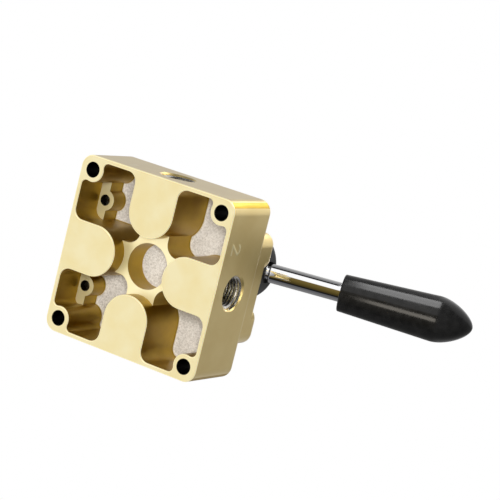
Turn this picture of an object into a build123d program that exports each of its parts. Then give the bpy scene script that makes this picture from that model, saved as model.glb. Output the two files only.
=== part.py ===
from build123d import *
import os
from math import cos, radians, sin, sqrt

os.makedirs("parts", exist_ok=True)

# Hand lever rotary air valve, four ports and three positions. Millimetres.
# The origin is the centre of the base face, +Z runs up the rotor axis and +X points along the
# lever at rest.

# Body casting
body_side = 71.2
body_height = 28.2
body_corner_r = 5.0
body_top_edge_r = 2.0
rim_edge_r = 0.4
top_plate = 5.2
pocket_wall = 1.7
pocket_inner = 6.4
pocket_inner_r = 5.2
pocket_corner_r = 4.0
pocket_floor_r = 1.0
lobe_width = 20.0
lobe_end_gap = 11.5
column_recess = 6.8
centre_bore_r = 9.0
centre_bore_depth = 9.6
centre_bore_draft = 2.5

# Mounting holes in the four corners
mount_edge = 5.6
mount_hole_r = 3.0
mount_boss_wall = 1.8
mount_boss_blend_r = 2.0

# Side ports, plain bores at the major radius of a G 1/4 thread, and their passages
port_z = 13.5
port_thread_r = 6.58
port_thread_depth = 14.0
port_chamfer = 0.8
port_bore_r = 4.5
passage_r = 3.25
passage_circle_r = 16.5
passage_end_gap = 2.0
seal_wall = 1.35
seal_height = 2.0
seal_gap = 0.05

# Cover screws, M4 by 16, in ledges inside the pockets
cover_screw_edge = 4.7
cover_screw_r = 2.0
cover_screw_length = 16.0
cover_screw_head_r = 3.5
cover_screw_head = 4.0
cover_screw_key = 3.0
cover_screw_edge_r = 0.4
cover_screw_tap_r = 2.1
cover_screw_clearance = 0.25
head_clearance = 0.2
head_sink = 0.5
screw_washer = 0.9
screw_washer_r = 3.45
ledge_height = 8.5
ledge_width = 4.2
ledge_boss_wall = 2.0

# Cover casting
flange_plate = 4.5
flange_round_r = 27.5
ear_height = 9.6
ear_wall = 4.8
ear_inset = 0.2
ear_inner_y = 7.6
ear_inner_x = 12.0
ear_inner_r = 4.6
ear_top_edge_r = 2.8
turret_r = 25.7
turret_height = 23.8
turret_top_edge_r = 1.5
turret_foot_r = 1.5
relief_inner_r = 15.5
relief_height = 6.3
cover_seal_inner_r = 23.3
cover_seal_cord = 1.6
cover_seal_groove = 1.3
cover_seal_edge_r = 0.55
dowel_r = 1.5
dowel_circle_r = 29.0
dowel_in_body = 4.0
dowel_in_cover = 3.0
pin_gap = 0.02
pin_chamfer = 0.3

# Rotary disc and what presses on it
running_gap = 0.05
disc_thickness = 6.0
disc_land = 0.5
disc_chamber_gap = 0.8
kidney_depth = 3.2
kidney_turn = 45.0
drive_square = 9.0
drive_gap = 0.05
drive_web = 2.15
drive_end_gap = 0.2
disc_edge_r = 0.5
disc_spring_height = 3.4
disc_spring_sheet = 0.7
disc_spring_inner_r = 7.0
disc_spring_outer_r = 10.5
disc_spring_gap = 0.02

# Spindle and its bearing
detent_flange_r = 14.0
detent_flange = 3.5
journal_r = 6.0
journal_rise = 1.2
thrust_washer = 0.95
thrust_washer_r = 8.2
thrust_washer_gap = 0.4
bush_wall = 1.5
bush_length = 5.3
cover_bore_gap = 0.3
shaft_seal_cord = 1.3
shaft_seal_squeeze = 0.1
shaft_seal_first = 1.3
shaft_seal_pitch = 2.1
shaft_seal_side_gap = 0.1
shaft_seal_edge_r = 0.5
hub_square = 8.4
hub_square_height = 12.0

# Detent and end stop
turn_limit = 45.0
ball_r = 2.5
ball_circle_r = 11.0
ball_angles = [90, 270]
ball_pocket_gap = 0.1
ball_pocket_height = 8.3
dimple_depth = 0.8
dimple_angles = [45, 90, 135, 225, 270, 315]
detent_spring_wire_r = 0.3
detent_spring_r = 1.9
detent_spring_turns = 5
stop_pin_r = 1.5
stop_circle_r = 11.5
stop_pin_in_cover = 6.5
stop_pin_rise = 4.0
stop_slot_gap = 0.2
stop_slot_depth = 4.5

# Dial plate on the turret
dial_inner_gap = 1.2
dial_rim = 1.4
dial_sheet = 0.6
dial_gap = 0.1
rivet_r = 0.8
rivet_head_r = 1.4
rivet_head = 0.4
rivet_length = 3.0
rivet_edge_r = 0.3
rivet_angles = [135, 225]

# Hub, hub screw and cap
hub_r = 15.5
hub_height = 31.3
hub_gap = 0.5
hub_top_edge_r = 5.0
hub_foot_edge_r = 0.8
hub_recess_r = 5.2
hub_seat_gap = 0.3
hub_washer = 1.0
hub_washer_r = 4.9
hub_screw_r = 2.5
hub_screw_length = 12.0
hub_screw_head_r = 4.25
hub_screw_head = 5.0
hub_screw_key = 4.0
hub_screw_spare = 1.5
journal_gap = 0.1
hub_cap_r = 9.0
hub_cap_sheet = 1.0
hub_cap_plug = 3.0
hub_cap_gap = 0.1
grub_r = 2.0
grub_gap = 0.02
grub_rise = 9.5
grub_length = 10.0
grub_key = 2.0
grub_key_depth = 2.5

# Lever
lever_rise = 17.5
lever_tilt = 20.6
rod_r = 4.0
rod_shoulder = 16.3
rod_shoulder_r = 0.9
rod_end = 61.0
thread_r = 3.0
thread_gap = 0.05
thread_start = 6.2
nut_pocket = 12.3
nut_pocket_r = 4.65
nut_r = 4.4
nut_length = 2.8
nut_slot = 1.4
nut_slot_depth = 0.8
nut_seat_gap = 0.05

# Grip and its insert
grip_root = 47.0
grip_widest = 86.3
grip_tip = 102.3
grip_root_r = 7.75
grip_r = 9.5
grip_root_edge_r = 0.7
grip_tip_pull = 0.42
grip_bore_gap = 0.1
insert_wall = 2.0
insert_length = 16.0
insert_thread = 13.0
insert_spare = 1.0

# Places worked out from the sizes above
half_side = body_side / 2
boss_r = mount_hole_r + mount_boss_wall
pocket_outer = half_side - pocket_wall
pocket_floor = body_height - top_plate
mount_x = half_side - mount_edge
lobe_round_x = lobe_end_gap + lobe_width / 2
port_angles = [0, 90, 180, 270]
seal_seat_r = passage_r + seal_wall
cover_screw_x = half_side - cover_screw_edge
cover_screw_y = (lobe_width / 2 + mount_x - boss_r) / 2
ledge_z = pocket_floor - ledge_height
ledge_x = pocket_outer - ledge_width

disc_r = passage_circle_r + seal_seat_r + disc_land
chamber_r = disc_r + disc_chamber_gap
disc_z = body_height + running_gap
disc_top = disc_z + disc_thickness
socket_z = disc_top - (disc_thickness - drive_web)
flange_z = disc_top + disc_spring_height
flange_top = flange_z + detent_flange
washer_z = flange_top + running_gap
roof_z = washer_z + thrust_washer
turret_top = body_height + turret_height
cover_bore_r = journal_r + cover_bore_gap
bush_r = journal_r + running_gap + bush_wall
bush_z = turret_top - bush_length
ear_top = body_height + ear_height
ear_outer_x = half_side - ear_inset
ear_outer_y = cover_screw_y + ear_wall
ear_x = (ear_inner_x + ear_outer_x) / 2
ear_y = (ear_inner_y + ear_outer_y) / 2
counterbore_r = cover_screw_head_r + head_clearance
screw_seat_z = ear_top - head_sink - cover_screw_head
screw_washer_z = screw_seat_z - screw_washer

hub_z = turret_top + hub_gap
hub_top = hub_z + hub_height
journal_top = turret_top + journal_rise
spindle_top = journal_top + hub_square_height
hub_seat_z = spindle_top + hub_seat_gap
hub_screw_seat_z = hub_seat_z + hub_washer
stop_pin_z = turret_top - stop_pin_in_cover
dial_inner_r = hub_r + dial_inner_gap
dial_outer_r = turret_r - dial_rim
rivet_circle_r = (dial_inner_r + dial_outer_r) / 2
ball_z = flange_top + running_gap + ball_r
spring_low = ball_z + sqrt((ball_r + detent_spring_wire_r) ** 2 - detent_spring_r**2)
spring_high = roof_z + ball_pocket_height - detent_spring_wire_r

seal_groove_r = cover_bore_r - shaft_seal_cord + shaft_seal_squeeze
shaft_seal_out_r = cover_bore_r - running_gap
shaft_seal_z = roof_z + shaft_seal_first + shaft_seal_pitch / 2
grub_z = hub_z + grub_rise
thread_hole_r = thread_r + thread_gap
thread_hole_start = hub_recess_r
insert_r = thread_hole_r + insert_wall

# Planes and lines of the tilted lever
lever_z = hub_z + lever_rise
lever_dir = (cos(radians(lever_tilt)), 0, sin(radians(lever_tilt)))
lever_across = Plane(origin=(0, 0, lever_z), x_dir=(0, 1, 0), z_dir=lever_dir)
lever_along = Plane(origin=(0, 0, lever_z), x_dir=lever_dir, z_dir=(0, -1, 0))
lever_axis = Axis((0, 0, lever_z), lever_dir)


def port_plane(angle, inward):
    """The plane across the port at this angle, that far inside the side face, facing outwards."""
    out = (cos(radians(angle)), sin(radians(angle)), 0)
    reach = half_side - inward
    return Plane(origin=(reach * out[0], reach * out[1], port_z), z_dir=out)


def turned(radius, angles):
    """Points on a circle round the rotor axis."""
    return [(radius * cos(radians(a)), radius * sin(radians(a))) for a in angles]


# Valve body. One quarter of the pockets is drawn and mirrored. Each mounting boss meets the
# pocket's outer wall in a round corner, whose centre lies one radius off the wall and the boss.
blend_x = pocket_outer - mount_boss_blend_r
blend_y = mount_x - sqrt((boss_r + mount_boss_blend_r) ** 2 - (mount_x - blend_x) ** 2)
blend_corners = [(blend_x, blend_y), (pocket_outer, blend_y), (pocket_outer, mount_x), (mount_x, mount_x)]

with BuildSketch() as boss_blend:
    Polygon(*blend_corners, align=None)
    with Locations((blend_x, blend_y)):
        Circle(mount_boss_blend_r, mode=Mode.SUBTRACT)

with BuildSketch() as boss_blend_across:
    Polygon(*[(y, x) for x, y in blend_corners], align=None)
    with Locations((blend_y, blend_x)):
        Circle(mount_boss_blend_r, mode=Mode.SUBTRACT)

with BuildSketch() as pocket_quarter:
    with Locations((pocket_inner, pocket_inner)):
        Rectangle(pocket_outer - pocket_inner, pocket_outer - pocket_inner, align=(Align.MIN, Align.MIN))
    fillet(pocket_quarter.vertices().sort_by_distance((0, 0, 0))[0], pocket_inner_r)
    with Locations((lobe_round_x, 0), (0, lobe_round_x)):
        Circle(lobe_width / 2, mode=Mode.SUBTRACT)
    with Locations(((lobe_round_x + half_side) / 2, 0)):
        Rectangle(half_side - lobe_round_x, lobe_width, mode=Mode.SUBTRACT)
    with Locations((0, (lobe_round_x + half_side) / 2)):
        Rectangle(lobe_width, half_side - lobe_round_x, mode=Mode.SUBTRACT)
    with Locations((mount_x, mount_x)):
        Circle(boss_r, mode=Mode.SUBTRACT)
        Rectangle(mount_edge, mount_edge, align=(Align.MIN, Align.MIN), mode=Mode.SUBTRACT)
    wall_corners = pocket_quarter.vertices().filter_by(lambda v: max(v.X, v.Y) > pocket_outer - 0.01)
    fillet(wall_corners.filter_by(lambda v: min(v.X, v.Y) < lobe_width / 2 + 0.01), pocket_corner_r)
    add(boss_blend.sketch, mode=Mode.SUBTRACT)
    add(boss_blend_across.sketch, mode=Mode.SUBTRACT)

with BuildSketch() as deep_quarter:
    add(pocket_quarter.sketch)
    with Locations((ledge_x, 0)):
        Rectangle(half_side, half_side, align=(Align.MIN, Align.MIN), mode=Mode.SUBTRACT)
    with Locations((cover_screw_x, cover_screw_y)):
        Circle(cover_screw_tap_r + ledge_boss_wall, mode=Mode.SUBTRACT)

with BuildSketch() as pockets:
    add(pocket_quarter.sketch)
    mirror(about=Plane.YZ)
    mirror(about=Plane.XZ)

with BuildSketch() as deep_pockets:
    add(deep_quarter.sketch)
    mirror(about=Plane.YZ)
    mirror(about=Plane.XZ)

# The pockets' core: deep pockets with rounded ends, and the shallow part of the pockets under the
# ledges. It starts half way down the first cut, so the two overlap.
core_start = column_recess / 2
with BuildPart() as pocket_core:
    with BuildSketch(Plane.XY.offset(core_start)):
        add(deep_pockets.sketch)
    extrude(amount=pocket_floor - core_start)
    core_ends = pocket_core.edges().filter_by_position(Axis.Z, pocket_floor - 0.01, pocket_floor + 0.01)
    fillet(core_ends, pocket_floor_r)
    with BuildSketch(Plane.XY.offset(core_start)):
        add(pockets.sketch)
    extrude(amount=ledge_z - core_start)

with BuildPart() as valve_body:
    with BuildSketch():
        RectangleRounded(body_side, body_side, body_corner_r)
    extrude(amount=body_height)
    fillet(valve_body.faces().sort_by(Axis.Z)[-1].edges(), body_top_edge_r)
    # Under the cover's flange the body keeps its full width up to the joint
    with BuildSketch(Plane.XY.offset(body_height - body_top_edge_r)):
        RectangleRounded(2 * ear_outer_x, 2 * ear_outer_y, ear_wall)
    extrude(amount=body_top_edge_r)
    # Mounting holes and tapped holes for the cover screws
    with BuildSketch():
        with GridLocations(2 * mount_x, 2 * mount_x, 2, 2):
            Circle(mount_hole_r)
        with GridLocations(2 * cover_screw_x, 2 * cover_screw_y, 2, 2):
            Circle(cover_screw_tap_r)
    extrude(amount=body_height, mode=Mode.SUBTRACT)
    # Down to the centre column's face the pockets open into each other between the lobes
    with BuildSketch():
        add(pockets.sketch)
        Circle(lobe_round_x)
        with Locations(turned(lobe_round_x, port_angles)):
            Circle(lobe_width / 2, mode=Mode.SUBTRACT)
    extrude(amount=column_recess, mode=Mode.SUBTRACT)
    rim_edges = valve_body.edges().filter_by_position(Axis.Z, -0.01, 0.01)
    fillet(rim_edges.filter_by(lambda e: not e.is_closed), rim_edge_r)
    add(pocket_core.part, mode=Mode.SUBTRACT)
    with BuildSketch(Plane.XY.offset(column_recess)):
        Circle(centre_bore_r)
    extrude(amount=centre_bore_depth, taper=centre_bore_draft, mode=Mode.SUBTRACT)
    with BuildSketch(Plane.XY.offset(body_height)):
        with Locations(turned(dowel_circle_r, [0, 180])):
            Circle(dowel_r + pin_gap)
    extrude(amount=-dowel_in_body, mode=Mode.SUBTRACT)
    # Ports from the four sides, each with a passage up to the disc's seat
    for angle in port_angles:
        with BuildSketch(port_plane(angle, 0)):
            Circle(port_thread_r)
        extrude(amount=-port_thread_depth, mode=Mode.SUBTRACT)
        with BuildSketch(port_plane(angle, 0)):
            Circle(port_thread_r + port_chamfer)
        extrude(amount=-port_chamfer, taper=45, mode=Mode.SUBTRACT)
        with BuildSketch(port_plane(angle, port_thread_depth)):
            Circle(port_bore_r)
        extrude(amount=-(half_side - port_thread_depth - passage_circle_r + passage_end_gap), mode=Mode.SUBTRACT)
    with BuildSketch(Plane.XY.offset(port_z)):
        with Locations(turned(passage_circle_r, port_angles)):
            Circle(passage_r)
    extrude(amount=body_height - port_z, mode=Mode.SUBTRACT)
    with BuildSketch(Plane.XY.offset(body_height)):
        with Locations(turned(passage_circle_r, port_angles)):
            Circle(seal_seat_r)
    extrude(amount=-seal_height, mode=Mode.SUBTRACT)
    with BuildSketch(Plane.XY.offset(body_height)):
        Circle(cover_seal_inner_r + cover_seal_cord)
        Circle(cover_seal_inner_r, mode=Mode.SUBTRACT)
    extrude(amount=-cover_seal_groove, mode=Mode.SUBTRACT)
valve_body.part.label = "valve_body"
export_step(valve_body.part, "parts/valve_body.step")

# Seals between the body and what sits on it
with BuildPart() as port_seals:
    with BuildSketch(Plane.XY.offset(body_height - seal_height)):
        with Locations(turned(passage_circle_r, port_angles)):
            Circle(seal_seat_r - seal_gap)
            Circle(passage_r, mode=Mode.SUBTRACT)
    extrude(amount=seal_height)
port_seals.part.label = "port_seals"
export_step(port_seals.part, "parts/port_seals.step")

with BuildPart() as cover_seal:
    with BuildSketch(Plane.XZ):
        with Locations((cover_seal_inner_r + cover_seal_cord / 2, body_height - cover_seal_groove / 2)):
            RectangleRounded(cover_seal_cord - 2 * seal_gap, cover_seal_groove, cover_seal_edge_r)
    revolve(axis=Axis.Z)
cover_seal.part.label = "cover_seal"
export_step(cover_seal.part, "parts/cover_seal.step")

# Four ears of the cover round its screws, each running on into the turret
with BuildPart() as cover_ears:
    with BuildSketch(Plane.XY.offset(body_height)):
        with GridLocations(2 * ear_x, 2 * ear_y, 2, 2):
            RectangleRounded(ear_outer_x - ear_inner_x, ear_outer_y - ear_inner_y, ear_wall)
    extrude(amount=ear_height)
    fillet(cover_ears.edges().filter_by_position(Axis.Z, ear_top - 0.01, ear_top + 0.01), ear_top_edge_r)

# Cover: flange and turret with the ears added, then the rooms and holes inside
foot_z = body_height + flange_plate
with BuildPart() as cover:
    with BuildSketch(Plane.XY.offset(body_height)):
        RectangleRounded(2 * ear_outer_x, 2 * ear_outer_y, ear_wall)
        Circle(flange_round_r)
    extrude(amount=flange_plate)
    with BuildSketch(Plane.XY.offset(body_height)):
        Circle(turret_r)
    extrude(amount=turret_height)
    fillet(cover.faces().sort_by(Axis.Z)[-1].edges(), turret_top_edge_r)
    foot_edges = cover.edges().filter_by_position(Axis.Z, foot_z - 0.01, foot_z + 0.01)
    fillet(foot_edges.filter_by(lambda e: e.is_closed), turret_foot_r)
    add(cover_ears.part)
    with BuildSketch(Plane.XY.offset(body_height)):
        Circle(chamber_r)
    extrude(amount=roof_z - body_height, mode=Mode.SUBTRACT)
    with BuildSketch(Plane.XY.offset(roof_z)):
        Circle(chamber_r)
        Circle(relief_inner_r, mode=Mode.SUBTRACT)
    extrude(amount=relief_height, mode=Mode.SUBTRACT)
    with BuildSketch(Plane.XY.offset(roof_z)):
        Circle(cover_bore_r)
    extrude(amount=turret_top - roof_z, mode=Mode.SUBTRACT)
    with BuildSketch(Plane.XY.offset(bush_z)):
        Circle(bush_r + pin_gap)
    extrude(amount=bush_length, mode=Mode.SUBTRACT)
    with BuildSketch(Plane.XY.offset(roof_z)):
        with Locations(turned(ball_circle_r, ball_angles)):
            Circle(ball_r + ball_pocket_gap)
    extrude(amount=ball_pocket_height, mode=Mode.SUBTRACT)
    with BuildSketch(Plane.XY.offset(stop_pin_z)):
        with Locations((-stop_circle_r, 0)):
            Circle(stop_pin_r + pin_gap)
    extrude(amount=stop_pin_in_cover, mode=Mode.SUBTRACT)
    with BuildSketch(Plane.XY.offset(turret_top)):
        Circle(dial_outer_r + dial_gap)
        Circle(dial_inner_r - dial_gap, mode=Mode.SUBTRACT)
    extrude(amount=-dial_sheet, mode=Mode.SUBTRACT)
    with BuildSketch(Plane.XY.offset(turret_top)):
        with Locations(turned(rivet_circle_r, rivet_angles)):
            Circle(rivet_r + pin_gap)
    extrude(amount=-rivet_length, mode=Mode.SUBTRACT)
    with BuildSketch(Plane.XY.offset(body_height)):
        with Locations(turned(dowel_circle_r, [0, 180])):
            Circle(dowel_r + pin_gap)
    extrude(amount=dowel_in_cover, mode=Mode.SUBTRACT)
    with BuildSketch(Plane.XY.offset(body_height)):
        with GridLocations(2 * cover_screw_x, 2 * cover_screw_y, 2, 2):
            Circle(cover_screw_r + cover_screw_clearance)
    extrude(amount=ear_height, mode=Mode.SUBTRACT)
    with BuildSketch(Plane.XY.offset(screw_washer_z)):
        with GridLocations(2 * cover_screw_x, 2 * cover_screw_y, 2, 2):
            Circle(counterbore_r)
    extrude(amount=ear_top - screw_washer_z, mode=Mode.SUBTRACT)
cover.part.label = "cover"
export_step(cover.part, "parts/cover.step")

# Screws, washers and dowels that hold the cover. Threads are plain at their major radius.
screw_head_top = screw_seat_z + cover_screw_head
with BuildPart() as cover_screws:
    with BuildSketch(Plane.XY.offset(screw_seat_z)):
        with GridLocations(2 * cover_screw_x, 2 * cover_screw_y, 2, 2):
            Circle(cover_screw_head_r)
    extrude(amount=cover_screw_head)
    head_edges = cover_screws.edges().filter_by_position(Axis.Z, screw_head_top - 0.01, screw_head_top + 0.01)
    fillet(head_edges, cover_screw_edge_r)
    with BuildSketch(Plane.XY.offset(screw_seat_z)):
        with GridLocations(2 * cover_screw_x, 2 * cover_screw_y, 2, 2):
            Circle(cover_screw_r)
    extrude(amount=-cover_screw_length)
    with BuildSketch(Plane.XY.offset(screw_head_top)):
        with GridLocations(2 * cover_screw_x, 2 * cover_screw_y, 2, 2):
            RegularPolygon(cover_screw_key / 2, 6, major_radius=False)
    extrude(amount=-cover_screw_head / 2, mode=Mode.SUBTRACT)
cover_screws.part.label = "cover_screws"
export_step(cover_screws.part, "parts/cover_screws.step")

with BuildPart() as screw_washers:
    with BuildSketch(Plane.XY.offset(screw_washer_z)):
        with GridLocations(2 * cover_screw_x, 2 * cover_screw_y, 2, 2):
            Circle(screw_washer_r)
            Circle(cover_screw_r + cover_screw_clearance, mode=Mode.SUBTRACT)
    extrude(amount=screw_washer)
screw_washers.part.label = "screw_washers"
export_step(screw_washers.part, "parts/screw_washers.step")

with BuildPart() as locating_dowels:
    with BuildSketch(Plane.XY.offset(body_height - dowel_in_body)):
        with Locations(turned(dowel_circle_r, [0, 180])):
            Circle(dowel_r)
    extrude(amount=dowel_in_body + dowel_in_cover)
    chamfer(locating_dowels.edges().filter_by(GeomType.CIRCLE), pin_chamfer)
locating_dowels.part.label = "locating_dowels"
export_step(locating_dowels.part, "parts/locating_dowels.step")

# Bearing of the spindle in the cover
with BuildPart() as thrust_washer_ring:
    with BuildSketch(Plane.XY.offset(washer_z)):
        Circle(thrust_washer_r)
        Circle(journal_r + thrust_washer_gap, mode=Mode.SUBTRACT)
    extrude(amount=thrust_washer)
thrust_washer_ring.part.label = "thrust_washer"
export_step(thrust_washer_ring.part, "parts/thrust_washer.step")

with BuildPart() as shaft_bush:
    with BuildSketch(Plane.XY.offset(bush_z)):
        Circle(bush_r)
        Circle(bush_r - bush_wall, mode=Mode.SUBTRACT)
    extrude(amount=bush_length)
shaft_bush.part.label = "shaft_bush"
export_step(shaft_bush.part, "parts/shaft_bush.step")

# Detent: balls drawn as they ride on the flange between two dimples, and their springs
with BuildPart() as detent_balls:
    with Locations([(x, y, ball_z) for x, y in turned(ball_circle_r, ball_angles)]):
        Sphere(ball_r)
detent_balls.part.label = "detent_balls"
export_step(detent_balls.part, "parts/detent_balls.step")

spring_travel = spring_high - spring_low
with BuildPart() as detent_springs:
    for x, y in turned(ball_circle_r, ball_angles):
        with BuildLine() as coil:
            Helix(spring_travel / detent_spring_turns, spring_travel, detent_spring_r, center=(x, y, spring_low))
        with BuildSketch(Plane(origin=coil.line @ 0, z_dir=coil.line % 0)):
            Circle(detent_spring_wire_r)
        sweep(path=coil.line, is_frenet=True)
detent_springs.part.label = "detent_springs"
export_step(detent_springs.part, "parts/detent_springs.step")

with BuildPart() as stop_pin:
    with BuildSketch(Plane.XY.offset(stop_pin_z)):
        with Locations((-stop_circle_r, 0)):
            Circle(stop_pin_r)
    extrude(amount=stop_pin_in_cover + stop_pin_rise)
    chamfer(stop_pin.edges().filter_by(GeomType.CIRCLE), pin_chamfer)
stop_pin.part.label = "stop_pin"
export_step(stop_pin.part, "parts/stop_pin.step")

# Dial plate and its rivets
with BuildPart() as dial_plate:
    with BuildSketch(Plane.XY.offset(turret_top - dial_sheet)):
        Circle(dial_outer_r)
        Circle(dial_inner_r, mode=Mode.SUBTRACT)
        with Locations(turned(rivet_circle_r, rivet_angles)):
            Circle(rivet_r + pin_gap, mode=Mode.SUBTRACT)
    extrude(amount=dial_sheet)
dial_plate.part.label = "dial_plate"
export_step(dial_plate.part, "parts/dial_plate.step")

with BuildPart() as dial_rivets:
    with BuildSketch(Plane.XY.offset(turret_top)):
        with Locations(turned(rivet_circle_r, rivet_angles)):
            Circle(rivet_head_r)
    extrude(amount=rivet_head)
    fillet(dial_rivets.edges().filter_by_position(Axis.Z, turret_top + rivet_head, turret_top + 1), rivet_edge_r)
    with BuildSketch(Plane.XY.offset(turret_top)):
        with Locations(turned(rivet_circle_r, rivet_angles)):
            Circle(rivet_r)
    extrude(amount=-rivet_length)
dial_rivets.part.label = "dial_rivets"
export_step(dial_rivets.part, "parts/dial_rivets.step")

# Rotary disc with two kidney pockets underneath and a square socket above
kidney_angles = [0, 180]
with BuildPart() as rotor_disc:
    with BuildSketch(Plane.XY.offset(disc_z)):
        Circle(disc_r)
    extrude(amount=disc_thickness)
    fillet(rotor_disc.faces().sort_by(Axis.Z)[-1].edges(), disc_edge_r)
    for middle in kidney_angles:
        with BuildSketch(Plane.XY.offset(disc_z)):
            SlotArc(CenterArc((0, 0), passage_circle_r, middle - kidney_turn, 2 * kidney_turn), 2 * passage_r)
        extrude(amount=kidney_depth, mode=Mode.SUBTRACT)
    with BuildSketch(Plane.XY.offset(socket_z)):
        Rectangle(drive_square + 2 * drive_gap, drive_square + 2 * drive_gap)
    extrude(amount=disc_top - socket_z, mode=Mode.SUBTRACT)
rotor_disc.part.label = "rotor_disc"
export_step(rotor_disc.part, "parts/rotor_disc.step")

# Two conical washers, their inner rims meeting halfway up
cone_r = [disc_spring_outer_r, disc_spring_inner_r, disc_spring_inner_r, disc_spring_outer_r]
cone_top = disc_spring_height / 2 - disc_spring_gap / 2
cone_rise = [0, cone_top - disc_spring_sheet, cone_top, disc_spring_sheet]
with BuildPart() as disc_springs:
    with BuildSketch(Plane.XZ):
        Polygon(*[(r, disc_top + z) for r, z in zip(cone_r, cone_rise)], align=None)
        Polygon(*[(r, flange_z - z) for r, z in zip(cone_r, cone_rise)], align=None)
    revolve(axis=Axis.Z)
disc_springs.part.label = "disc_springs"
export_step(disc_springs.part, "parts/disc_springs.step")

# Spindle: lower square, detent flange with its dimples, journal with two seal grooves, hub square
with BuildPart() as spindle:
    with BuildSketch(Plane.XY.offset(socket_z + drive_end_gap)):
        Rectangle(drive_square, drive_square)
    extrude(amount=flange_z - socket_z - drive_end_gap)
    with BuildSketch(Plane.XY.offset(flange_z)):
        Circle(detent_flange_r)
    extrude(amount=detent_flange)
    with BuildSketch(Plane.XY.offset(flange_top)):
        Circle(journal_r)
    extrude(amount=journal_top - flange_top)
    with BuildSketch(Plane.XY.offset(journal_top)):
        Rectangle(hub_square, hub_square)
    extrude(amount=hub_square_height)
    with Locations([(x, y, flange_top - dimple_depth + ball_r) for x, y in turned(ball_circle_r, dimple_angles)]):
        Sphere(ball_r, mode=Mode.SUBTRACT)
    with BuildSketch(Plane.XZ):
        with Locations((journal_r, shaft_seal_z)):
            with GridLocations(0, shaft_seal_pitch, 1, 2):
                Rectangle(2 * (journal_r - seal_groove_r), shaft_seal_cord + 2 * shaft_seal_side_gap)
    revolve(axis=Axis.Z, mode=Mode.SUBTRACT)
    with BuildSketch(Plane.XY.offset(hub_screw_seat_z - hub_screw_length - hub_screw_spare)):
        Circle(hub_screw_r + thread_gap)
    extrude(amount=spindle_top, mode=Mode.SUBTRACT)
spindle.part.label = "spindle"
export_step(spindle.part, "parts/spindle.step")

with BuildPart() as shaft_seals:
    with BuildSketch(Plane.XZ):
        with Locations(((seal_groove_r + shaft_seal_out_r) / 2, shaft_seal_z)):
            with GridLocations(0, shaft_seal_pitch, 1, 2):
                RectangleRounded(shaft_seal_out_r - seal_groove_r, shaft_seal_cord, shaft_seal_edge_r)
    revolve(axis=Axis.Z)
shaft_seals.part.label = "shaft_seals"
export_step(shaft_seals.part, "parts/shaft_seals.step")

# Hub with its square, screw recess, stop slot and the lever's pocket and thread
with BuildPart() as hub:
    with BuildSketch(Plane.XY.offset(hub_z)):
        Circle(hub_r)
    extrude(amount=hub_height)
    fillet(hub.faces().sort_by(Axis.Z)[-1].edges(), hub_top_edge_r)
    fillet(hub.faces().sort_by(Axis.Z)[0].edges(), hub_foot_edge_r)
    with BuildSketch(Plane.XY.offset(hub_z)):
        Circle(journal_r + journal_gap)
    extrude(amount=journal_top - hub_z, mode=Mode.SUBTRACT)
    with BuildSketch(Plane.XY.offset(hub_z)):
        Rectangle(hub_square + 2 * drive_gap, hub_square + 2 * drive_gap)
    extrude(amount=hub_seat_z - hub_z, mode=Mode.SUBTRACT)
    with BuildSketch(Plane.XY.offset(hub_seat_z)):
        Circle(hub_recess_r)
    extrude(amount=hub_top - hub_seat_z, mode=Mode.SUBTRACT)
    with BuildSketch(Plane.XY.offset(hub_top)):
        Circle(hub_cap_r)
    extrude(amount=-hub_cap_sheet, mode=Mode.SUBTRACT)
    with BuildSketch(Plane.XY.offset(hub_z)):
        SlotArc(CenterArc((0, 0), stop_circle_r, 180 - turn_limit, 2 * turn_limit), 2 * stop_pin_r + 2 * stop_slot_gap)
    extrude(amount=stop_slot_depth, mode=Mode.SUBTRACT)
    with BuildSketch(lever_across.offset(nut_pocket)):
        Circle(nut_pocket_r)
    extrude(amount=hub_r, mode=Mode.SUBTRACT)
    with BuildSketch(lever_across.offset(thread_hole_start)):
        Circle(thread_hole_r)
    extrude(amount=nut_pocket - thread_hole_start, mode=Mode.SUBTRACT)
    with BuildSketch(Plane.YZ.offset(-hub_square / 2)):
        with Locations((0, grub_z)):
            Circle(grub_r + grub_gap)
    extrude(amount=-hub_r, mode=Mode.SUBTRACT)
hub.part.label = "hub"
export_step(hub.part, "parts/hub.step")

# What fastens the hub to the spindle
with BuildPart() as hub_washer_ring:
    with BuildSketch(Plane.XY.offset(hub_seat_z)):
        Circle(hub_washer_r)
        Circle(hub_screw_r + hub_cap_gap, mode=Mode.SUBTRACT)
    extrude(amount=hub_washer)
hub_washer_ring.part.label = "hub_washer"
export_step(hub_washer_ring.part, "parts/hub_washer.step")

with BuildPart() as hub_screw:
    with BuildSketch(Plane.XY.offset(hub_screw_seat_z)):
        Circle(hub_screw_head_r)
    extrude(amount=hub_screw_head)
    fillet(hub_screw.faces().sort_by(Axis.Z)[-1].edges(), cover_screw_edge_r)
    with BuildSketch(Plane.XY.offset(hub_screw_seat_z)):
        Circle(hub_screw_r)
    extrude(amount=-hub_screw_length)
    with BuildSketch(Plane.XY.offset(hub_screw_seat_z + hub_screw_head)):
        RegularPolygon(hub_screw_key / 2, 6, major_radius=False)
    extrude(amount=-hub_screw_head / 2, mode=Mode.SUBTRACT)
hub_screw.part.label = "hub_screw"
export_step(hub_screw.part, "parts/hub_screw.step")

with BuildPart() as hub_grub_screw:
    with BuildSketch(Plane.YZ.offset(-hub_square / 2 - grub_gap)):
        with Locations((0, grub_z)):
            Circle(grub_r)
    extrude(amount=-grub_length)
    with BuildSketch(Plane.YZ.offset(-hub_square / 2 - grub_gap - grub_length)):
        with Locations((0, grub_z)):
            RegularPolygon(grub_key / 2, 6, major_radius=False)
    extrude(amount=grub_key_depth, mode=Mode.SUBTRACT)
hub_grub_screw.part.label = "hub_grub_screw"
export_step(hub_grub_screw.part, "parts/hub_grub_screw.step")

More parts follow.
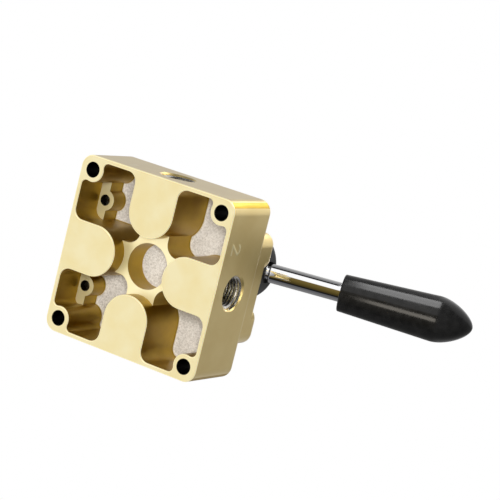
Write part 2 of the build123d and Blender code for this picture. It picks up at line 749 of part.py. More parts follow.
with BuildPart() as hub_cap:
    with BuildSketch(Plane.XY.offset(hub_top)):
        Circle(hub_cap_r - hub_cap_gap)
    extrude(amount=-hub_cap_sheet)
    with BuildSketch(Plane.XY.offset(hub_top - hub_cap_sheet)):
        Circle(hub_recess_r - hub_cap_gap)
    extrude(amount=-hub_cap_plug)
hub_cap.part.label = "hub_cap"
export_step(hub_cap.part, "parts/hub_cap.step")

# Lever rod with a thread at each end, drawn plain, and the round nut that locks it
with BuildPart() as lever_rod:
    with BuildSketch(lever_across.offset(rod_shoulder)):
        Circle(rod_r)
    extrude(amount=rod_end - rod_shoulder)
    fillet(lever_rod.edges().sort_by(lever_axis)[0], rod_shoulder_r)
    with BuildSketch(lever_across.offset(thread_start)):
        Circle(thread_r)
    extrude(amount=rod_end + insert_thread - thread_start)
lever_rod.part.label = "lever_rod"
export_step(lever_rod.part, "parts/lever_rod.step")

with BuildPart() as lock_nut:
    with BuildSketch(lever_across.offset(nut_pocket + nut_seat_gap)):
        Circle(nut_r)
        Circle(thread_hole_r, mode=Mode.SUBTRACT)
    extrude(amount=nut_length)
    with BuildSketch(lever_across.offset(nut_pocket + nut_seat_gap + nut_length)):
        Rectangle(2 * nut_r, nut_slot)
    extrude(amount=-nut_slot_depth, mode=Mode.SUBTRACT)
lock_nut.part.label = "lock_nut"
export_step(lock_nut.part, "parts/lock_nut.step")

# Grip and the threaded insert moulded into it
with BuildPart() as grip_insert:
    with BuildSketch(lever_across.offset(rod_end)):
        Circle(insert_r)
    extrude(amount=insert_length)
    with BuildSketch(lever_across.offset(rod_end)):
        Circle(thread_hole_r)
    extrude(amount=insert_thread + insert_spare, mode=Mode.SUBTRACT)
grip_insert.part.label = "grip_insert"
export_step(grip_insert.part, "parts/grip_insert.step")

tip_pull = grip_tip_pull * (grip_tip - grip_widest)
with BuildPart() as grip:
    with BuildSketch(lever_along):
        with BuildLine():
            Line((grip_root, 0), (grip_root, grip_root_r))
            Line((grip_root, grip_root_r), (grip_widest, grip_r))
            Bezier(
                (grip_widest, grip_r),
                (grip_widest + tip_pull, grip_r + tip_pull * (grip_r - grip_root_r) / (grip_widest - grip_root)),
                (grip_tip, grip_tip_pull * grip_r),
                (grip_tip, 0),
            )
            Line((grip_tip, 0), (grip_root, 0))
        make_face()
    revolve(axis=lever_axis)
    fillet(grip.edges().sort_by(lever_axis)[0], grip_root_edge_r)
    with BuildSketch(lever_across.offset(grip_root)):
        Circle(rod_r + grip_bore_gap)
    extrude(amount=rod_end - grip_root, mode=Mode.SUBTRACT)
    with BuildSketch(lever_across.offset(rod_end)):
        Circle(insert_r + pin_gap)
    extrude(amount=insert_length, mode=Mode.SUBTRACT)
grip.part.label = "grip"
export_step(grip.part, "parts/grip.step")
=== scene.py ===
"""Looks of the hand lever air valve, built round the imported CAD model."""
import math

import bmesh
import bpy
from mathutils import Matrix, Vector


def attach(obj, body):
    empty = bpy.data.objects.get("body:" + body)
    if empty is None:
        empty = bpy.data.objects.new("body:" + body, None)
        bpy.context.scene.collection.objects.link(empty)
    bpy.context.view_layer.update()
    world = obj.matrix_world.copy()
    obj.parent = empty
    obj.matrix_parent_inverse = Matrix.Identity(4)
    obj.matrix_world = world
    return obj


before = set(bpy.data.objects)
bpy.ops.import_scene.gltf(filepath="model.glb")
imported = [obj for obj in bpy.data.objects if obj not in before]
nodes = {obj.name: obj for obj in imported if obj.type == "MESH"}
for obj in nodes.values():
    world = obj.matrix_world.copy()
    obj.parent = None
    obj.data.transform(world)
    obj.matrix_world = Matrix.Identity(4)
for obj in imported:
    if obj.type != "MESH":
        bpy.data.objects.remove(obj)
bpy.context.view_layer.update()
MM = 0.001

# Camera fitted to the photograph: where it stands in metres, and its down and view directions
CAMERA_POS = (0.37174, -0.13036, -0.59290)
CAMERA_DOWN = (0.2879, 0.9575, -0.0192)
CAMERA_VIEW = (-0.4758, 0.1604, 0.8648)
SENSOR = 36.0
FOCAL_PIXELS = 1869.31
PHOTO_PIXELS = 500.0

# Sizes repeated from the part's source, in millimetres
BODY_HALF = 35.6
POCKET_FLOOR_Z = 23.0
MOUNT_XY = 30.0
MOUNT_HOLE_R = 3.0
SCREW_X = 30.9
SCREW_Y = 17.6
SCREW_HOLE_R = 2.1
CENTRE_BORE_R = 9.0
CENTRE_BORE_Z = 16.4
PORT_Z = 13.5
PORT_BORE_R = 6.58
TURRET_TOP = 52.0
DIAL_MIDDLE_R = 20.5


# Pieces


def smooth(obj, angle=32.0):
    """Smooth shading with edges sharper than the angle kept crisp."""
    mesh = obj.data
    mesh.polygons.foreach_set("use_smooth", [True] * len(mesh.polygons))
    mesh.set_sharp_from_angle(angle=math.radians(angle))


def add_piece(name, mesh, material, body, angle):
    """Puts a mesh in the scene as a new piece that rides on a body."""
    obj = bpy.data.objects.new(name, mesh)
    bpy.context.scene.collection.objects.link(obj)
    mesh.materials.clear()
    mesh.materials.append(material)
    smooth(obj, angle)
    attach(obj, body)


def axes_matrix(right, up, back, origin):
    """Matrix with these three axes and its origin in metres."""
    rows = Matrix((right, up, back)).transposed().to_4x4()
    rows.translation = origin
    return rows


# Shader nodes


def new_material(name):
    mat = bpy.data.materials.new(name)
    mat.use_nodes = True
    tree = mat.node_tree
    return mat, tree, tree.nodes["Principled BSDF"]


def node(tree, kind, **inputs):
    """A new node with some of its inputs set."""
    made = tree.nodes.new(kind)
    for key, value in inputs.items():
        made.inputs[key].default_value = value
    return made


def feed(tree, socket, value):
    """Links an input to a socket, or sets it to a number or a vector."""
    if hasattr(value, "links"):
        tree.links.new(value, socket)
    else:
        socket.default_value = value


def place(tree):
    """Position in the row frame, which is the object's own coordinates here."""
    return tree.nodes.new("ShaderNodeTexCoord").outputs["Object"]


def split(tree, vector):
    """The x, y and z of a vector."""
    made = tree.nodes.new("ShaderNodeSeparateXYZ")
    tree.links.new(vector, made.inputs[0])
    return tuple(made.outputs)


def noise(tree, scale, detail, roughness):
    made = node(tree, "ShaderNodeTexNoise", Scale=scale, Detail=detail, Roughness=roughness)
    tree.links.new(place(tree), made.inputs["Vector"])
    return made.outputs["Fac"]


def ramp(tree, source, stops):
    """Colours by a number, from stops of a place and a colour."""
    made = tree.nodes.new("ShaderNodeValToRGB")
    tree.links.new(source, made.inputs["Fac"])
    points = made.color_ramp.elements
    while len(points) < len(stops):
        points.new(0.5)
    for point, (at, colour) in zip(points, stops):
        point.position = at
        point.color = (*colour, 1.0)
    return made.outputs["Color"]


def map_range(tree, source, low, high, out_low, out_high):
    """A number carried from one range to another, and held at that range's ends."""
    made = tree.nodes.new("ShaderNodeMapRange")
    tree.links.new(source, made.inputs["Value"])
    ends = {"From Min": low, "From Max": high, "To Min": out_low, "To Max": out_high}
    for key, value in ends.items():
        made.inputs[key].default_value = value
    return made.outputs["Result"]


def smooth_step(tree, source, low, high, out_low, out_high):
    """The same as map_range, with soft ends."""
    result = map_range(tree, source, low, high, out_low, out_high)
    result.node.interpolation_type = "SMOOTHSTEP"
    return result


def math_node(tree, operation, *values):
    made = tree.nodes.new("ShaderNodeMath")
    made.operation = operation
    for socket, value in zip(made.inputs, values):
        feed(tree, socket, value)
    return made.outputs[0]


def chain(tree, operation, *values):
    """One operation run through several sockets or numbers."""
    made = values[0]
    for value in values[1:]:
        made = math_node(tree, operation, made, value)
    return made


def times(tree, *values):
    return chain(tree, "MULTIPLY", *values)


def plus(tree, *values):
    return chain(tree, "ADD", *values)


def highest(tree, *values):
    return chain(tree, "MAXIMUM", *values)


def one_minus(tree, value):
    return math_node(tree, "SUBTRACT", 1.0, value)


def within(tree, x, y, at_x, at_y, radius):
    """One inside a circle round the z direction, given in millimetres."""
    off_x = math_node(tree, "SUBTRACT", x, at_x * MM)
    off_y = math_node(tree, "SUBTRACT", y, at_y * MM)
    squares = plus(tree, times(tree, off_x, off_x), times(tree, off_y, off_y))
    return math_node(tree, "LESS_THAN", math_node(tree, "SQRT", squares), radius * MM)


def vector_math(tree, operation, *values):
    """Result of a vector operation: a number for a length or a dot product, and else a vector."""
    made = tree.nodes.new("ShaderNodeVectorMath")
    made.operation = operation
    for socket, value in zip(made.inputs, values):
        feed(tree, socket, value)
    return made.outputs["Value" if operation in ("LENGTH", "DOT_PRODUCT") else "Vector"]


def mix(tree, factor, first, second):
    """Mix of two colours, each a socket or a plain colour."""
    made = tree.nodes.new("ShaderNodeMix")
    made.data_type = "RGBA"
    feed(tree, made.inputs[0], factor)
    for socket, colour in ((made.inputs[6], first), (made.inputs[7], second)):
        feed(tree, socket, (*colour, 1.0) if isinstance(colour, tuple) else colour)
    return made.outputs[2]


def mix_shaders(tree, factor, first, second):
    made = tree.nodes.new("ShaderNodeMixShader")
    for socket, value in zip(made.inputs, (factor, first, second)):
        tree.links.new(value, socket)
    return made.outputs[0]


def bump(tree, shader, height, strength, distance):
    made = node(tree, "ShaderNodeBump", Strength=strength, Distance=distance)
    tree.links.new(height, made.inputs["Height"])
    tree.links.new(made.outputs["Normal"], shader.inputs["Normal"])


# Plain numbers by the ports, cast into the sides: which side each is on, and its strokes from
# point to point, in millimetres from the number's middle
NUMBER_SIDES = (("2", "x", 1), ("3", "y", 1), ("4", "x", -1), ("1", "y", -1))
NUMBER_STROKES = {
    "1": [(-1.3, 1.6, 0.2, 2.7), (0.2, 2.7, 0.2, -2.7)],
    "2": [(-1.8, 1.8, -0.9, 2.7), (-0.9, 2.7, 0.9, 2.7), (0.9, 2.7, 1.8, 1.6), (1.8, 1.6, -1.8, -2.7),
          (-1.8, -2.7, 1.9, -2.7)],
    "3": [(-1.7, 2.7, 1.7, 2.7), (1.7, 2.7, 0.0, 0.5), (0.0, 0.5, 1.7, -1.0), (1.7, -1.0, 0.7, -2.7),
          (0.7, -2.7, -1.7, -2.4)],
    "4": [(0.8, -2.7, 0.8, 2.7), (0.8, 2.7, -1.9, -1.1), (-1.9, -1.1, 1.9, -1.1)],
}
NUMBER_ACROSS = -17.15
NUMBER_Z = 7.5
STROKE_FLAT = 0.28
STROKE_EDGE = 0.55
SIDE_SKIN = 0.05


def stroke_mask(tree, spot, stroke):
    """One inside a stroke of a number, falling to nothing at its edge."""
    start = Vector((stroke[0], stroke[1], 0)) * MM
    run = Vector((stroke[2], stroke[3], 0)) * MM - start
    away = vector_math(tree, "SUBTRACT", spot, tuple(start))
    dot = vector_math(tree, "DOT_PRODUCT", away, tuple(run))
    along = times(tree, dot, 1 / run.length_squared)
    along.node.use_clamp = True
    carried = tree.nodes.new("ShaderNodeVectorMath")
    carried.operation = "SCALE"
    carried.inputs[0].default_value = tuple(run)
    tree.links.new(along, carried.inputs["Scale"])
    gap = vector_math(tree, "LENGTH", vector_math(tree, "SUBTRACT", away, carried.outputs[0]))
    return map_range(tree, gap, STROKE_FLAT * MM, STROKE_EDGE * MM, 1.0, 0.0)


def number_mask(tree, x, y, z):
    """The four numbers, each on its own side beside its port."""
    masks = []
    for text, side, sign in NUMBER_SIDES:
        out, across, right = (x, y, sign) if side == "x" else (y, x, -sign)
        spot = tree.nodes.new("ShaderNodeCombineXYZ")
        shifted = math_node(tree, "SUBTRACT", times(tree, across, right), NUMBER_ACROSS * MM)
        tree.links.new(shifted, spot.inputs[0])
        tree.links.new(math_node(tree, "SUBTRACT", z, NUMBER_Z * MM), spot.inputs[1])
        strokes = [stroke_mask(tree, spot.outputs[0], stroke) for stroke in NUMBER_STROKES[text]]
        outermost = (BODY_HALF - SIDE_SKIN) * MM
        on_side = math_node(tree, "GREATER_THAN", times(tree, out, sign), outermost)
        masks.append(times(tree, highest(tree, *strokes), on_side))
    return highest(tree, *masks)


# Gold lacquer of the two castings
GOLD = (0.80, 0.60, 0.21)
GOLD_WORN = (0.85, 0.66, 0.26)
# Paler copies of the gold, painted as highlight on the base face, its rim and the inner steps, which
# look down
FACE_GOLD_LIT = (0.94, 0.80, 0.41)
FACE_GOLD_LIT_PALE = (0.97, 0.86, 0.51)
# Deeper copies of the gold, painted as shade on the walls inside the pockets and bores
WALL_GOLD_SHADED = (0.57, 0.37, 0.025)
WALL_GOLD_SHADED_DEEP = (0.47, 0.30, 0.015)
# A painted highlight that glows on the rounded edge of the base face's rim, its colour and strength
RIM_PAINTED_HIGHLIGHT = (1.0, 0.87, 0.52)
RIM_HIGHLIGHT_STRENGTH = 0.70
# Near black painted as shade inside the mounting and screw holes
HOLE_PAINTED_SHADE = (0.02, 0.017, 0.012)
BARE = (0.86, 0.81, 0.74)
BARE_DARK = (0.50, 0.45, 0.38)
COAT_ROUGHNESS = 0.28

# Relief of the bare floors and of the numbers, as multiples of the lacquer's grain
FLOOR_RELIEF = 6.0
NUMBER_RELIEF = 60.0

# Where one surface of the body gives way to the next. The facings are the z of the surface's
# normal, the others are millimetres.
WALL_FACING = (-0.9, -0.5)
FLOOR_FACING = (-0.9, -0.55)
RIM_EDGE_FACING = (-0.99, -0.93)
RIM_DEPTH = (0.25, 0.45)
POCKET_FLOOR_RISE = (-1.2, -0.6)
BORE_FLOOR_RISE = (-0.3, -0.1)
OUTSIDE_SKIN = 0.7
HOLE_SPARE = 0.1
BORE_SPARE = 0.2


def lacquer(tree):
    """Grain, cloud, colour and roughness of the lacquer, a fine blasted champagne gold."""
    grain = noise(tree, 5200.0, 2.0, 0.6)
    cloud = noise(tree, 90.0, 3.0, 0.5)
    colour = ramp(tree, cloud, [(0.35, GOLD), (0.65, GOLD_WORN)])
    return grain, cloud, colour, map_range(tree, grain, 0.35, 0.65, 0.30, 0.40)


def finish_lacquer(tree, shader, colour, roughness, height):
    tree.links.new(colour, shader.inputs["Base Color"])
    tree.links.new(roughness, shader.inputs["Roughness"])
    shader.inputs["Coat Roughness"].default_value = COAT_ROUGHNESS
    bump(tree, shader, height, 0.25, 0.00004)


def cover_gold_material(name):
    mat, tree, shader = new_material(name)
    grain, _, colour, roughness = lacquer(tree)
    shader.inputs["Metallic"].default_value = 1.0
    shader.inputs["Coat Weight"].default_value = 1.0
    finish_lacquer(tree, shader, colour, roughness, grain)
    return mat


def body_gold_material(name):
    """The body's lacquer: a painted highlight makes it pale on faces that look down, painted shade
    makes it deep on inner walls, bare on cored floors.
    """
    mat, tree, shader = new_material(name)
    grain, cloud, colour, roughness = lacquer(tree)
    rough = noise(tree, 1500.0, 5.0, 0.65)
    signed_x, signed_y, z = split(tree, place(tree))
    x = math_node(tree, "ABSOLUTE", signed_x)
    y = math_node(tree, "ABSOLUTE", signed_y)
    facing = split(tree, tree.nodes.new("ShaderNodeNewGeometry").outputs["Normal"])[2]

    def height_mask(level, rise):
        return map_range(tree, z, (level + rise[0]) * MM, (level + rise[1]) * MM, 0.0, 1.0)

    # Walls and steps of the inside, and the base face, whose rim is at z 0
    inner_half = (BODY_HALF - OUTSIDE_SKIN) * MM
    inside = math_node(tree, "LESS_THAN", highest(tree, x, y), inner_half)
    upright = map_range(tree, facing, *WALL_FACING, 0.0, 1.0)
    past_rim = height_mask(0.0, RIM_DEPTH)
    at_rim = one_minus(tree, past_rim)
    wall = times(tree, inside, upright, past_rim)
    step = times(tree, inside, past_rim, one_minus(tree, upright))

    # Mounting and screw holes, the bare floors of the pockets and centre bore, and the numbers
    mount_hole = within(tree, x, y, MOUNT_XY, MOUNT_XY, MOUNT_HOLE_R + HOLE_SPARE)
    screw_hole = within(tree, x, y, SCREW_X, SCREW_Y, SCREW_HOLE_R + HOLE_SPARE)
    hole = highest(tree, mount_hole, screw_hole)
    down = map_range(tree, facing, *FLOOR_FACING, 1.0, 0.0)
    pocket_floor = height_mask(POCKET_FLOOR_Z, POCKET_FLOOR_RISE)
    bore_floor = times(tree, height_mask(CENTRE_BORE_Z, BORE_FLOOR_RISE),
                       within(tree, x, y, 0.0, 0.0, CENTRE_BORE_R + BORE_SPARE))
    bare = times(tree, down, highest(tree, pocket_floor, bore_floor))
    number = number_mask(tree, signed_x, signed_y, z)
    not_hole = one_minus(tree, hole)
    not_bare = one_minus(tree, bare)

    shaded_wall_gold = ramp(tree, cloud, [(0.35, WALL_GOLD_SHADED_DEEP), (0.65, WALL_GOLD_SHADED)])
    lit_face_gold = ramp(tree, cloud, [(0.35, FACE_GOLD_LIT), (0.65, FACE_GOLD_LIT_PALE)])
    bare_metal = ramp(tree, rough, [(0.30, BARE_DARK), (0.62, BARE)])
    # Painted shade: the inner walls take the deeper gold
    colour = mix(tree, wall, colour, shaded_wall_gold)
    # Painted highlight: the base face, its rim and the inner steps take the paler gold
    colour = mix(tree, highest(tree, at_rim, step), colour, lit_face_gold)
    # Painted shade: the mounting and screw holes are coloured near black
    colour = mix(tree, hole, colour, HOLE_PAINTED_SHADE)
    colour = mix(tree, bare, colour, bare_metal)
    # Painted highlight: the numbers take the paler gold, besides their bump relief
    colour = mix(tree, times(tree, number, 0.8), colour, FACE_GOLD_LIT_PALE)

    roughness = plus(tree, roughness, times(tree, bare, 0.2), times(tree, wall, 0.14))
    floor_height = times(tree, rough, bare, FLOOR_RELIEF)
    height = plus(tree, grain, floor_height, times(tree, number, NUMBER_RELIEF))
    dull = plus(tree, times(tree, bare, 0.9), times(tree, step, not_bare, 0.45))
    coat = times(tree, not_hole, not_bare, one_minus(tree, times(tree, wall, 0.6)))
    # Painted highlight: the rounded edge of the rim glows, outside the holes
    rim_highlight = map_range(tree, facing, *RIM_EDGE_FACING, 0.0, RIM_HIGHLIGHT_STRENGTH)
    tree.links.new(one_minus(tree, dull), shader.inputs["Metallic"])
    tree.links.new(coat, shader.inputs["Coat Weight"])
    tree.links.new(times(tree, at_rim, not_hole, rim_highlight), shader.inputs["Emission Strength"])
    shader.inputs["Emission Color"].default_value = (*RIM_PAINTED_HIGHLIGHT, 1.0)
    finish_lacquer(tree, shader, colour, roughness, height)
    return mat


# The other materials: a dark and a light colour, the lowest and highest roughness, the grain's
# scale and the strength of its relief
GRAIN_DEPTH = 0.00003


def metal_material(name, dark, light, rough_low, rough_high, scale=900.0, strength=0.08):
    mat, tree, shader = new_material(name)
    grain = noise(tree, scale, 3.0, 0.55)
    tree.links.new(ramp(tree, grain, [(0.3, dark), (0.7, light)]), shader.inputs["Base Color"])
    tree.links.new(map_range(tree, grain, 0.3, 0.7, rough_low, rough_high), shader.inputs["Roughness"])
    shader.inputs["Metallic"].default_value = 1.0
    bump(tree, shader, grain, strength, GRAIN_DEPTH)
    return mat


def dull_material(name, dark, light, rough_low, rough_high, scale, strength, specular=0.5):
    mat, tree, shader = new_material(name)
    grain = noise(tree, scale, 3.0, 0.6)
    tree.links.new(ramp(tree, grain, [(0.35, dark), (0.65, light)]), shader.inputs["Base Color"])
    tree.links.new(map_range(tree, grain, 0.3, 0.7, rough_low, rough_high), shader.inputs["Roughness"])
    shader.inputs["Specular IOR Level"].default_value = specular
    bump(tree, shader, grain, strength, GRAIN_DEPTH)
    return mat


body_gold = body_gold_material("body_gold")
cover_gold = cover_gold_material("cover_gold")
chrome = metal_material(
    "chrome_plate", (0.86, 0.86, 0.87), (0.90, 0.90, 0.91), 0.03, 0.06, 700.0, 0.02)
steel = metal_material("plated_steel", (0.55, 0.55, 0.54), (0.70, 0.70, 0.69), 0.22, 0.34)
bright_steel = metal_material("bright_steel", (0.68, 0.68, 0.69), (0.78, 0.78, 0.79), 0.12, 0.2)
dark_steel = metal_material("black_steel", (0.05, 0.05, 0.05), (0.09, 0.09, 0.09), 0.3, 0.42)
thread_metal = metal_material(
    "port_thread", (0.50, 0.48, 0.44), (0.66, 0.64, 0.60), 0.2, 0.32, 1200.0)
bronze = metal_material("bearing_bronze", (0.55, 0.38, 0.18), (0.68, 0.49, 0.24), 0.25, 0.36)
disc_metal = metal_material("disc_metal", (0.42, 0.42, 0.43), (0.56, 0.56, 0.57), 0.28, 0.38)
dial_metal = metal_material(
    "dial_metal", (0.66, 0.66, 0.67), (0.78, 0.78, 0.79), 0.26, 0.36, 500.0, 0.01)
hub_black = dull_material(
    "hub_black", (0.009, 0.009, 0.009), (0.018, 0.018, 0.018), 0.34, 0.46, 4200.0, 0.2, 0.15)
cap_black = dull_material(
    "cap_black", (0.018, 0.018, 0.018), (0.03, 0.03, 0.03), 0.45, 0.6, 2500.0, 0.2)
grip_black = dull_material(
    "grip_black", (0.006, 0.006, 0.006), (0.010, 0.010, 0.010), 0.14, 0.20, 300.0, 0.03, 0.24)
rubber = dull_material(
    "seal_rubber", (0.012, 0.012, 0.012), (0.025, 0.025, 0.025), 0.6, 0.75, 1800.0, 0.25)
ink = dull_material("dial_ink", (0.01, 0.01, 0.01), (0.02, 0.02, 0.02), 0.5, 0.6, 1500.0, 0.1)

finish = {
    "valve_body": body_gold,
    "cover": cover_gold,
    "port_seals": rubber,
    "cover_seal": rubber,
    "shaft_seals": rubber,
    "cover_screws": steel,
    "screw_washers": steel,
    "locating_dowels": steel,
    "hub_washer": steel,
    "hub_screw": steel,
    "thrust_washer": bronze,
    "shaft_bush": bronze,
    "grip_insert": bronze,
    "detent_balls": bright_steel,
    "detent_springs": bright_steel,
    "disc_springs": bright_steel,
    "stop_pin": bright_steel,
    "spindle": bright_steel,
    "rotor_disc": disc_metal,
    "dial_plate": dial_metal,
    "dial_rivets": dial_metal,
    "hub": hub_black,
    "hub_cap": cap_black,
    "hub_grub_screw": dark_steel,
    "lock_nut": dark_steel,
    "lever_rod": chrome,
    "grip": grip_black,
}
for name, obj in nodes.items():
    obj.data.materials.clear()
    obj.data.materials.append(finish[name])
    smooth(obj)


# Thread ridges of the four ports: one helix of blunt teeth in each bore. The foot and crest are
# half widths as parts of the pitch. The others are millimetres, apart from the two counts.
THREAD_PITCH = 1.337
THREAD_CREST_R = 5.78
THREAD_START = 34.7
THREAD_END = 22.0
THREAD_FOOT = 0.46
THREAD_CREST = 0.09
THREAD_SINK = 0.06
THREAD_SECTIONS_PER_TURN = 56
THREAD_TAPER_TURNS = 0.5
THREAD_LEAST_HEIGHT = 0.02
THREAD_SMOOTH_ANGLE = 24.0


def thread_mesh(name, angle):
    """Ridge of the port at this angle, running in from the mouth, its ends tapered to nothing."""
    steps = int((THREAD_START - THREAD_END) / THREAD_PITCH * THREAD_SECTIONS_PER_TURN)
    taper_steps = THREAD_TAPER_TURNS * THREAD_SECTIONS_PER_TURN
    half_foot = THREAD_PITCH * THREAD_FOOT
    half_crest = THREAD_PITCH * THREAD_CREST
    foot_r = PORT_BORE_R + THREAD_SINK
    cos_port, sin_port = math.cos(angle), math.sin(angle)
    verts, faces = [], []
    for i in range(steps + 1):
        turn = 2 * math.pi * i / THREAD_SECTIONS_PER_TURN
        depth = THREAD_START - THREAD_PITCH * i / THREAD_SECTIONS_PER_TURN
        grow = min(1.0, i / taper_steps, (steps - i) / taper_steps)
        crest_r = foot_r - (foot_r - THREAD_CREST_R) * max(grow, THREAD_LEAST_HEIGHT)
        foot_and_crest = ((-half_foot, foot_r), (-half_crest, crest_r),
                          (half_crest, crest_r), (half_foot, foot_r))
        for along, radius in foot_and_crest:
            x = depth + along
            y = radius * math.cos(turn)
            z = PORT_Z + radius * math.sin(turn)
            verts.append((x * cos_port - y * sin_port, x * sin_port + y * cos_port, z))
        if i:
            low = 4 * (i - 1)
            for k in range(4):
                nxt = (k + 1) % 4
                faces.append((low + k, low + nxt, low + 4 + nxt, low + 4 + k))
    faces.append((0, 1, 2, 3))
    last = 4 * steps
    faces.append((last, last + 1, last + 2, last + 3))
    mesh = bpy.data.meshes.new(name)
    mesh.from_pydata([Vector(vert) * MM for vert in verts], [], faces)
    mesh.update()
    bm = bmesh.new()
    bm.from_mesh(mesh)
    bmesh.ops.recalc_face_normals(bm, faces=bm.faces)
    bm.to_mesh(mesh)
    bm.free()
    return mesh


for port in range(4):
    name = f"port_thread_{port + 1}"
    mesh = thread_mesh(name, port * math.pi / 2)
    add_piece(name, mesh, thread_metal, "valve", THREAD_SMOOTH_ANGLE)


# Numbers of the dial plate, from Blender's own plain font made into meshes: each number's angle
# round the plate in degrees. The others are millimetres.
DIAL_NUMBERS = (("1", 45.0), ("0", 0.0), ("2", -45.0))
DIAL_NUMBER_SIZE = 5.4
DIAL_INK_THICKNESS = 0.08
DIAL_INK_RISE = 0.02
DIAL_SMOOTH_ANGLE = 30.0


def number_mesh(name, text, matrix):
    curve = bpy.data.curves.new(name, "FONT")
    curve.body = text
    curve.size = DIAL_NUMBER_SIZE * MM
    curve.extrude = DIAL_INK_THICKNESS / 2 * MM
    curve.align_x = "CENTER"
    curve.align_y = "CENTER"
    made = bpy.data.objects.new(name + "_text", curve)
    bpy.context.scene.collection.objects.link(made)
    bpy.context.view_layer.update()
    evaluated = made.evaluated_get(bpy.context.evaluated_depsgraph_get())
    mesh = bpy.data.meshes.new_from_object(evaluated)
    bpy.data.objects.remove(made)
    mesh.transform(matrix)
    mesh.name = name
    return mesh


for text, angle in DIAL_NUMBERS:
    out = Vector((math.cos(math.radians(angle)), math.sin(math.radians(angle)), 0))
    across = Vector((-out.y, out.x, 0))
    spot = out * DIAL_MIDDLE_R + Vector((0, 0, TURRET_TOP + DIAL_INK_RISE))
    matrix = axes_matrix(across, -out, across.cross(-out), spot * MM)
    name = f"dial_number_{text}"
    add_piece(name, number_mesh(name, text, matrix), ink, "valve", DIAL_SMOOTH_ANGLE)


# Stage: a pale floor that is see-through from below, where the photograph's camera stands
FLOOR_HALF = 3.0
FLOOR_Z = -0.0003
FLOOR_COLOUR = (0.9, 0.9, 0.9)
FLOOR_GLOW = 0.55


def build_stage():
    mat, tree, shader = new_material("floor_white")
    shader.inputs["Base Color"].default_value = (*FLOOR_COLOUR, 1.0)
    shader.inputs["Emission Color"].default_value = (1.0, 1.0, 1.0, 1.0)
    shader.inputs["Emission Strength"].default_value = FLOOR_GLOW
    shader.inputs["Roughness"].default_value = 0.9
    shader.inputs["Specular IOR Level"].default_value = 0.0
    clear = tree.nodes.new("ShaderNodeBsdfTransparent")
    underside = tree.nodes.new("ShaderNodeNewGeometry").outputs["Backfacing"]
    blend = mix_shaders(tree, underside, shader.outputs[0], clear.outputs[0])
    tree.links.new(blend, tree.nodes["Material Output"].inputs["Surface"])
    mesh = bpy.data.meshes.new("floor")
    signs = ((-1, -1), (1, -1), (1, 1), (-1, 1))
    corners = [(x * FLOOR_HALF, y * FLOOR_HALF, FLOOR_Z) for x, y in signs]
    mesh.from_pydata(corners, [], [(0, 1, 2, 3)])
    mesh.materials.append(mat)
    floor = bpy.data.objects.new("floor", mesh)
    bpy.context.scene.collection.objects.link(floor)
    floor.visible_shadow = False
    floor.visible_diffuse = False
    floor.visible_glossy = False


# Surroundings by height, from straight down to straight up, and their strength from -X to +X
SKY = [(0.0, (0.32, 0.32, 0.32)), (0.45, (0.16, 0.16, 0.16)), (0.55, (0.22, 0.22, 0.22)),
       (0.80, (0.55, 0.55, 0.55)), (1.0, (0.55, 0.55, 0.55))]
SKY_STRENGTH = (1.25, 0.72)

# Bright field that the base face mirrors to the photograph's camera: its direction, how near to
# it a direction is at the field's edge and inside it, and its strength
FACE_MIRROR = (-0.476, 0.160, -0.865)
FACE_FIELD = (0.57, 0.91)
FACE_GLOW = 0.82

# Directions that the lever's round pieces mirror to the photograph's camera. They all have about
# the same part along the rod's axis, so they fill a strip of the surroundings, with bands of
# brightness by the angle round the rod, in degrees. The strip fades out between two distances
# from that part.
ROD_AXIS = (0.9361, 0.0, 0.3518)
ROD_FRONT = (0.3471, -0.1617, -0.9238)
ROD_SIDE = (0.0569, 0.9868, -0.1515)
STRIP_PART = -0.141
STRIP_FADE = (0.15, 0.33)
BAND_STRENGTH = 1.12
BANDS = [
    (-180, (0.50, 0.50, 0.50)), (-152, (0.58, 0.57, 0.55)), (-130, (0.36, 0.36, 0.36)),
    (-92, (0.18, 0.18, 0.18)), (-84, (0.01, 0.01, 0.01)), (-70, (0.01, 0.01, 0.01)),
    (-67, (1.0, 1.0, 1.0)), (-18, (1.0, 1.0, 0.98)), (-15, (0.17, 0.12, 0.035)),
    (20, (0.11, 0.08, 0.02)), (50, (0.05, 0.035, 0.01)), (58, (0.01, 0.01, 0.01)),
    (72, (0.01, 0.01, 0.01)), (76, (0.10, 0.10, 0.11)), (120, (0.18, 0.18, 0.18)),
    (180, (0.26, 0.26, 0.26)),
]


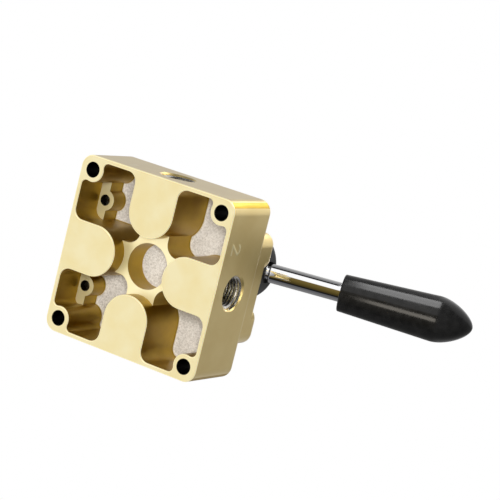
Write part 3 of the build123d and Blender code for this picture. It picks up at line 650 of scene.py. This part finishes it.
def build_world():
    """White for the camera, and for all else soft light with the mirrored field and strip."""
    world = bpy.data.worlds.new("studio")
    bpy.context.scene.world = world
    world.use_nodes = True
    tree = world.node_tree
    tree.nodes.clear()
    way = tree.nodes.new("ShaderNodeTexCoord").outputs["Generated"]
    way_x, _, way_z = split(tree, way)
    soft = node(tree, "ShaderNodeBackground")
    tree.links.new(ramp(tree, map_range(tree, way_z, -1.0, 1.0, 0.0, 1.0), SKY), soft.inputs["Color"])
    tree.links.new(map_range(tree, way_x, -0.5, 0.5, *SKY_STRENGTH), soft.inputs["Strength"])
    field = node(tree, "ShaderNodeBackground")
    near = vector_math(tree, "DOT_PRODUCT", way, FACE_MIRROR)
    tree.links.new(smooth_step(tree, near, *FACE_FIELD, 0.0, FACE_GLOW), field.inputs["Strength"])
    lit = tree.nodes.new("ShaderNodeAddShader")
    tree.links.new(soft.outputs[0], lit.inputs[0])
    tree.links.new(field.outputs[0], lit.inputs[1])
    rod_side = vector_math(tree, "DOT_PRODUCT", way, ROD_SIDE)
    rod_front = vector_math(tree, "DOT_PRODUCT", way, ROD_FRONT)
    rod_along = vector_math(tree, "DOT_PRODUCT", way, ROD_AXIS)
    turn = map_range(tree, math_node(tree, "ARCTAN2", rod_side, rod_front), -math.pi, math.pi, 0.0, 1.0)
    bands = ramp(tree, turn, [((angle + 180) / 360, colour) for angle, colour in BANDS])
    striped = node(tree, "ShaderNodeBackground", Strength=BAND_STRENGTH)
    tree.links.new(bands, striped.inputs["Color"])
    off = math_node(tree, "ABSOLUTE", math_node(tree, "SUBTRACT", rod_along, STRIP_PART))
    in_strip = smooth_step(tree, off, *STRIP_FADE, 1.0, 0.0)
    studio = mix_shaders(tree, in_strip, lit.outputs[0], striped.outputs[0])
    white = node(tree, "ShaderNodeBackground", Color=(1.0, 1.0, 1.0, 1.0))
    seen = tree.nodes.new("ShaderNodeLightPath").outputs["Is Camera Ray"]
    out = tree.nodes.new("ShaderNodeOutputWorld")
    tree.links.new(mix_shaders(tree, seen, studio, white.outputs[0]), out.inputs["Surface"])


def card_light(name, centre, target, along, length, width, power, colour=(1.0, 1.0, 1.0)):
    """A softbox in millimetres, its length lying along a direction, unseen by the camera."""
    light = bpy.data.lights.new(name, "AREA")
    light.shape = "RECTANGLE"
    light.size = length * MM
    light.size_y = width * MM
    light.energy = power
    light.color = colour
    obj = bpy.data.objects.new(name, light)
    bpy.context.scene.collection.objects.link(obj)
    back = (Vector(centre) - Vector(target)).normalized()
    right = Vector(along)
    right = (right - back * right.dot(back)).normalized()
    obj.matrix_world = axes_matrix(right, back.cross(right), back, Vector(centre) * MM)
    obj.visible_camera = False
    return obj


# Softboxes that the grip mirrors to the camera in a band each: angle round the grip in degrees,
# place along it, distance, length and width in millimetres, power in watts and colour. They
# stand in the strip's directions, whose part across the rod's axis is ACROSS_PART.
GRIP_MIDDLE = Vector((77.0, 0.0, 99.0))
GRIP_LIGHTS = (
    ("grip_broad", -74.0, 1.0, 110.0, 60.0, 80.0, 0.122, (1.0, 1.0, 1.0)),
    ("grip_thin", 8.0, -2.0, 90.0, 46.0, 26.0, 0.026, (1.0, 0.93, 0.82)),
)
ACROSS_PART = 0.99

# Softboxes over the valve and on the camera's side, in millimetres. The front one fills the
# pockets with light, and nothing polished mirrors it.
TOP_LIGHT = (300, -500, 800)
TOP_TARGET = (0, 0, 40)
TOP_SIDE = 1200
TOP_POWER = 2.3
FRONT_LIGHT = (330, -150, -560)
FRONT_TARGET = (0, 0, 10)
FRONT_SIDE = 160
FRONT_POWER = 4.7


def grip_light(name, angle, along, distance, length, width, power, colour):
    turn = math.radians(angle)
    middle = GRIP_MIDDLE + along * Vector(ROD_AXIS)
    across = math.cos(turn) * Vector(ROD_FRONT) + math.sin(turn) * Vector(ROD_SIDE)
    out = STRIP_PART * Vector(ROD_AXIS) + ACROSS_PART * across
    card_light(name, middle + distance * out, middle, ROD_AXIS, length, width, power, colour)


def build_lights():
    for values in GRIP_LIGHTS:
        grip_light(*values)
    card_light("top", TOP_LIGHT, TOP_TARGET, (1, 0, 0), TOP_SIDE, TOP_SIDE, TOP_POWER)
    front = card_light(
        "front", FRONT_LIGHT, FRONT_TARGET, (1, 0, 0), FRONT_SIDE, FRONT_SIDE, FRONT_POWER)
    front.visible_glossy = False


def build_camera():
    data = bpy.data.cameras.new("camera")
    data.sensor_width = SENSOR
    data.lens = FOCAL_PIXELS / PHOTO_PIXELS * SENSOR
    data.clip_start = 0.01
    data.clip_end = 20.0
    camera = bpy.data.objects.new("camera", data)
    bpy.context.scene.collection.objects.link(camera)
    back = -Vector(CAMERA_VIEW).normalized()
    up = -Vector(CAMERA_DOWN)
    up = (up - back * up.dot(back)).normalized()
    camera.matrix_world = axes_matrix(up.cross(back), up, back, CAMERA_POS)
    bpy.context.scene.camera = camera


build_camera()
build_world()
build_stage()
build_lights()
bpy.context.scene.view_settings.view_transform = "Standard"
